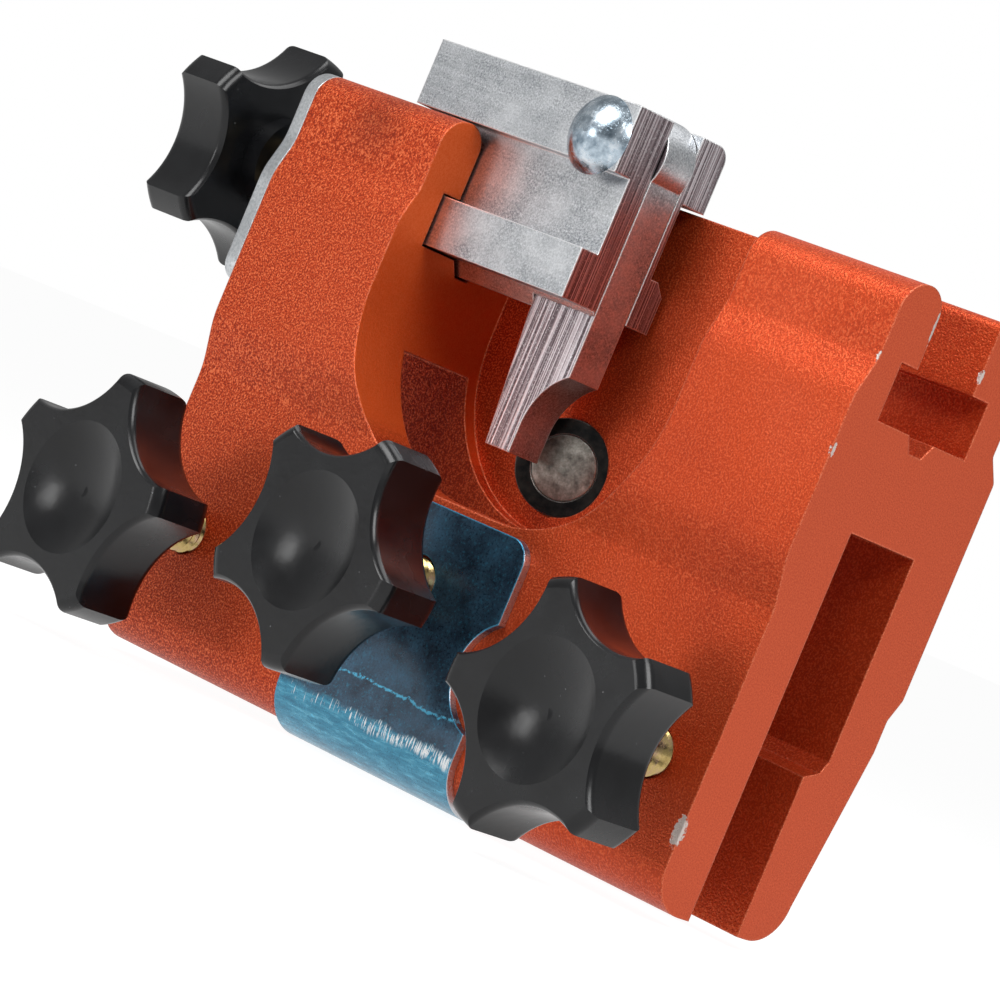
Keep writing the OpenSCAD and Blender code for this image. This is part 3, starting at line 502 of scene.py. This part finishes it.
def mouldedPhenolic(spec):
    # phenolic moulding from a polished die: near black and glossy, with a faint ripple and a few dust specks
    material, tree, surface, place = startMaterial("mouldedPhenolic", {
        "Roughness": 0.25, "IOR": 1.55, "Specular IOR Level": 0.3})
    ripple = addNode(tree, "TexNoise", {"Scale": 1 / spec["ripple"], "Detail": 2.0}, {"Vector": place})
    cloud = addNode(tree, "TexNoise", {"Scale": 1 / spec["cloud"], "Detail": 3.0}, {"Vector": place})
    cells = addNode(tree, "TexVoronoi", {"Scale": 1 / spec["dustSpacing"]}, {"Vector": place})
    dust = addNode(tree, "MapRange", {1: 0.06, 2: 0.035}, {0: cells.outputs["Distance"]})
    somewhere = addNode(tree, "TexNoise", {"Scale": 1 / spec["dusty"], "Detail": 1.0}, {"Vector": place})
    few = addNode(tree, "MapRange", {1: 0.5, 2: 0.58, 4: 0.6}, {0: somewhere})
    dust = addNode(tree, "Math", {"operation": "MULTIPLY"}, {0: dust, 1: few})
    stops = [(0.3, spec["black"]), (0.75, spec["grey"])]
    colour = addNode(tree, "ValToRGB", {"stops": stops}, {"Fac": cloud})
    colour = addNode(tree, "Mix", {"data_type": "RGBA", 7: hexColour(spec["dust"])}, {0: dust, 6: colour})
    tree.links.new(colour.outputs[2], surface.inputs["Base Color"])
    rough = addNode(tree, "MapRange", {1: 0.3, 2: 0.7, 3: 0.18, 4: 0.3}, {0: cloud})
    tree.links.new(rough.outputs[0], surface.inputs["Roughness"])
    bump = addNode(tree, "Bump", {"Distance": spec["rippleDepth"] * millimetre}, {"Height": ripple})
    tree.links.new(bump.outputs[0], surface.inputs["Normal"])
    return material


dress(["clamp_knob_left", "clamp_knob_middle", "clamp_knob_right", "feed_knob"], mouldedPhenolic(knobFinish))
print("knobs finished")

# threaded screws

threadSpec = {
    "crest": 2.97, "root": 2.42, "pitch": 1.0,      # mm: two radii, and the rise of a turn
    "coreRise": 0.06, "rim": 0.35, "endGap": 0.05,  # mm: core above the root, bevel, space to the solid's end
    "steps": 32, "sides": 48,                       # facets of a turn of the ridge, and of the core
}
goldFinish = {
    "brown": "#8d7644", "gold": "#b9a26c", "pink": "#b4957a", "green": "#c6be94",
    "cloud": 2.38, "grit": 0.303, "gritDepth": 0.003,  # mm
}


def yellowZinc(spec):
    # yellow-passivated zinc: straw gold that drifts to pink and pale green
    material, tree, surface, place = startMaterial("yellowZinc", {"Metallic": 1.0, "Roughness": 0.2})
    cloud = addNode(tree, "TexNoise", {"Scale": 1 / spec["cloud"], "Detail": 3.0, "Roughness": 0.6},
                    {"Vector": place})
    fine = addNode(tree, "TexNoise", {"Scale": 1 / spec["grit"], "Detail": 2.0, "Roughness": 0.6},
                   {"Vector": place})
    stops = [(0.3, spec["brown"]), (0.5, spec["gold"]), (0.62, spec["pink"]), (0.75, spec["green"])]
    colour = addNode(tree, "ValToRGB", {"stops": stops}, {"Fac": cloud})
    tree.links.new(colour.outputs[0], surface.inputs["Base Color"])
    rough = addNode(tree, "MapRange", {1: 0.3, 2: 0.7, 3: 0.14, 4: 0.28}, {0: fine})
    tree.links.new(rough.outputs[0], surface.inputs["Roughness"])
    bump = addNode(tree, "Bump", {"Distance": spec["gritDepth"] * millimetre}, {"Height": fine})
    tree.links.new(bump.outputs[0], surface.inputs["Normal"])
    return material


def threadedRod(name, spec, length):
    # a ridge of diamond section wound round a bevelled core, standing on the origin along z
    half = spec["pitch"] / 2 * millimetre
    bpy.ops.object.select_all(action="DESELECT")
    bpy.ops.mesh.primitive_circle_add(vertices=4, radius=1, fill_type="NOTHING",
                                      rotation=(math.radians(90), 0, 0))
    ridge = bpy.context.object
    ridge.scale = ((spec["crest"] - spec["root"]) * millimetre, half, half)
    ridge.location = (spec["root"] * millimetre, 0, half)
    bpy.ops.object.transform_apply(location=True, rotation=True, scale=True)
    wind = ridge.modifiers.new("wind", "SCREW")
    wind.axis, wind.angle, wind.screw_offset = "Z", math.radians(360), spec["pitch"] * millimetre
    wind.iterations = int(length / spec["pitch"]) - 1
    wind.steps = wind.render_steps = spec["steps"]
    bpy.ops.object.modifier_apply(modifier="wind")
    bpy.ops.object.mode_set(mode="EDIT")
    bpy.ops.mesh.select_all(action="SELECT")
    bpy.ops.mesh.remove_doubles(threshold=1e-7)
    bpy.ops.mesh.fill_holes(sides=0)
    bpy.ops.mesh.select_all(action="SELECT")
    bpy.ops.mesh.normals_make_consistent(inside=False)
    bpy.ops.object.mode_set(mode="OBJECT")
    bpy.ops.object.select_all(action="DESELECT")
    bpy.ops.mesh.primitive_cylinder_add(vertices=spec["sides"],
                                        radius=(spec["root"] + spec["coreRise"]) * millimetre,
                                        depth=length * millimetre, location=(0, 0, length / 2 * millimetre))
    core = bpy.context.object
    bpy.ops.object.transform_apply(location=True, rotation=True, scale=True)
    rims = core.modifiers.new("rims", "BEVEL")
    rims.width, rims.segments, rims.limit_method = spec["rim"] * millimetre, 2, "ANGLE"
    rims.angle_limit = math.radians(60)
    bpy.ops.object.modifier_apply(modifier="rims")
    ridge.select_set(True)
    bpy.context.view_layer.objects.active = ridge
    bpy.ops.object.join()
    ridge.name = name
    bpy.ops.object.shade_smooth_by_angle(angle=math.radians(25))
    return ridge


gold = yellowZinc(goldFinish)
alongY = Matrix.Rotation(math.radians(-90), 4, "X")
alongX = Matrix.Rotation(math.radians(90), 4, "Y")
screws = [  # node, body, the axis that it runs along, the turn that lays z on that axis
    ("clamp_screw_left", "clamp_left_screw", 1, alongY),
    ("clamp_screw_middle", "clamp_middle_screw", 1, alongY),
    ("clamp_screw_right", "clamp_right_screw", 1, alongY),
    ("feed_screw", "feed", 0, alongX),
]
for node, body, axis, turn in screws:
    low, high = (Vector(corner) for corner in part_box(node))
    start = (low + high) / 2
    start[axis] = low[axis] + threadSpec["endGap"] * millimetre
    length = (high[axis] - low[axis]) / millimetre - 2 * threadSpec["endGap"]
    screw = threadedRod("threaded_" + node, threadSpec, length)
    screw.data.transform(Matrix.Translation(start) @ turn)
    screw.data.materials.append(gold)
    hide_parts(node)
    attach(screw, body)
print("threads cut")

# plate screws with their cross recesses

crossSpec = {
    "width": 1.0, "reach": 1.9, "depth": 1.3,  # mm
    "taper": 0.55,                             # share of its size left at the blade's bottom
    "askew": 20,                               # degrees
}


def crossHead(node, spec):
    # the screw's own form with a cross pressed into its head, which looks along -x
    low, high = (Vector(corner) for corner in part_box(node))
    bpy.ops.object.select_all(action="DESELECT")
    screw = nodes[node].copy()
    screw.data = nodes[node].data.copy()
    screw.name = "crosshead_" + node
    screw.parent = None
    for key in list(screw.keys()):
        del screw[key]
    bpy.context.collection.objects.link(screw)
    screw.select_set(True)
    bpy.context.view_layer.objects.active = screw
    bpy.ops.object.mode_set(mode="EDIT")
    bpy.ops.mesh.select_all(action="SELECT")
    bpy.ops.mesh.remove_doubles(threshold=1e-6)
    bpy.ops.object.mode_set(mode="OBJECT")
    middle = (low + high) / 2
    for turned in (0, 90):
        bpy.ops.object.select_all(action="DESELECT")
        bpy.ops.mesh.primitive_cube_add(size=1, location=(low.x, middle.y, middle.z))
        blade = bpy.context.object
        blade.scale = Vector((2 * spec["depth"], 2 * spec["reach"], spec["width"])) * millimetre
        blade.rotation_euler.x = math.radians(turned + spec["askew"])
        bpy.ops.object.transform_apply(location=True, rotation=True, scale=True)
        # the blade narrows towards its bottom, as a driver's tip does
        for corner in blade.data.vertices:
            if corner.co.x > low.x:
                corner.co.y = middle.y + (corner.co.y - middle.y) * spec["taper"]
                corner.co.z = middle.z + (corner.co.z - middle.z) * spec["taper"]
        press = screw.modifiers.new("press", "BOOLEAN")
        press.object, press.operation, press.solver = blade, "DIFFERENCE", "EXACT"
        bpy.ops.object.select_all(action="DESELECT")
        screw.select_set(True)
        bpy.context.view_layer.objects.active = screw
        bpy.ops.object.modifier_apply(modifier="press")
        bpy.data.objects.remove(blade)
    bpy.ops.object.shade_smooth_by_angle(angle=math.radians(30))
    screw.data.materials.clear()
    screw.data.materials.append(zinc)
    return screw


for node in ("end_screw_front", "end_screw_rear"):
    screw = crossHead(node, crossSpec)
    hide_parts(node)
    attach(screw, "frame")
print("cross recesses pressed")

# floor, light and camera

floorSpec = {
    "colour": "#f4f4f3", "glow": 1.2, "glowShare": 0.8,
    "size": 8.0,  # m
    "drop": 0.3,  # mm below the lowest point
}


def matBoard(spec):
    # matt white board: most of what the camera sees is its own white, and the rest takes the shadow
    material = bpy.data.materials.new("matBoard")
    material.use_nodes = True
    tree = material.node_tree
    tree.nodes.clear()
    board = addNode(tree, "BsdfDiffuse", {"Color": hexColour(spec["colour"])})
    glow = addNode(tree, "Emission", {"Color": (1, 1, 1, 1), "Strength": spec["glow"]})
    path = addNode(tree, "LightPath")
    seen = addNode(tree, "Math", {"operation": "MAXIMUM"},
                   {0: path.outputs["Is Camera Ray"], 1: path.outputs["Is Glossy Ray"]})
    seen = addNode(tree, "Math", {"operation": "MAXIMUM"}, {0: seen, 1: path.outputs["Is Transmission Ray"]})
    share = addNode(tree, "Math", {"operation": "MULTIPLY", 1: spec["glowShare"]}, {0: seen})
    mixed = addNode(tree, "MixShader", links={0: share, 1: board, 2: glow})
    addNode(tree, "OutputMaterial", links={"Surface": mixed})
    return material


bpy.ops.object.select_all(action="DESELECT")
bpy.ops.mesh.primitive_plane_add(size=floorSpec["size"],
                                 location=(0, 0, cadBox[0][2] - floorSpec["drop"] * millimetre))
floor = bpy.context.object
floor.name = "floor"
floor.data.materials.append(matBoard(floorSpec))

roomSpec = {"light": 0.07, "seen": 1.0, "mirrored": 0.4}  # strengths: on the jig, to the camera, in its metal
world = bpy.data.worlds.new("paleRoom")
bpy.context.scene.world = world
world.use_nodes = True
room = world.node_tree
room.nodes.clear()
path = addNode(room, "LightPath")
mirrored = addNode(room, "Math", {"operation": "MULTIPLY", 1: roomSpec["mirrored"]},
                   {0: path.outputs["Is Glossy Ray"]})
seen = addNode(room, "Math", {"operation": "MAXIMUM"},
               {0: path.outputs["Is Camera Ray"], 1: path.outputs["Is Transmission Ray"]})
seen = addNode(room, "Math", {"operation": "MAXIMUM"}, {0: seen, 1: mirrored})
strength = addNode(room, "MapRange", {3: roomSpec["light"], 4: roomSpec["seen"]}, {0: seen})
walls = addNode(room, "Background", {"Color": (1, 1, 1, 1)}, {"Strength": strength})
addNode(room, "OutputWorld", links={"Surface": walls})

lampAim = Vector((0, 0, 40)) * millimetre
lampSpecs = [  # name, place in mm, size in mm, watts
    ("keyBox", (-60, -190, 250), 150, 0.52),
    ("sideBox", (230, -80, 250), 150, 0.6),
    ("topBox", (0, 120, 420), 300, 0.8),
    ("frontBox", (-200, -480, 80), 120, 0.26),
]
for name, place, size, watts in lampSpecs:
    data = bpy.data.lights.new(name, "AREA")
    data.shape, data.size, data.energy = "SQUARE", size * millimetre, watts
    lamp = bpy.data.objects.new(name, data)
    bpy.context.collection.objects.link(lamp)
    lamp.location = Vector(place) * millimetre
    lamp.rotation_euler = (lampAim - lamp.location).to_track_quat("-Z", "Y").to_euler()

cameraSpec = {
    "place": (390.43, -409.25, 40.99), "azimuth": 44.04, "elevation": 0.70, "roll": 22.71,
    "focal": 4835.9, "picture": 1000,  # pixels
    "sensor": 36,                      # mm
}


def cameraTurn(spec):
    # right, up and back of a camera turned round the object, raised, then rolled
    around, above, roll = (math.radians(spec[key]) for key in ("azimuth", "elevation", "roll"))
    right = Vector((math.cos(around), math.sin(around), 0))
    level = Vector((-math.sin(around), math.cos(around), 0))
    ahead = level * math.cos(above) - Vector((0, 0, math.sin(above)))
    down = ahead.cross(right)
    rolledRight = right * math.cos(roll) - down * math.sin(roll)
    rolledDown = right * math.sin(roll) + down * math.cos(roll)
    return Matrix((rolledRight, -rolledDown, -ahead)).transposed()


cameraData = bpy.data.cameras.new("camera")
cameraData.sensor_width = cameraSpec["sensor"]
cameraData.lens = cameraSpec["focal"] / cameraSpec["picture"] * cameraSpec["sensor"]
cameraData.clip_start = 0.01
camera = bpy.data.objects.new("camera", cameraData)
bpy.context.collection.objects.link(camera)
cameraPlace = Matrix.Translation(Vector(cameraSpec["place"]) * millimetre)
camera.matrix_world = cameraPlace @ cameraTurn(cameraSpec).to_4x4()
bpy.context.scene.camera = camera
bpy.context.scene.view_settings.view_transform = "Standard"
print("stage set")
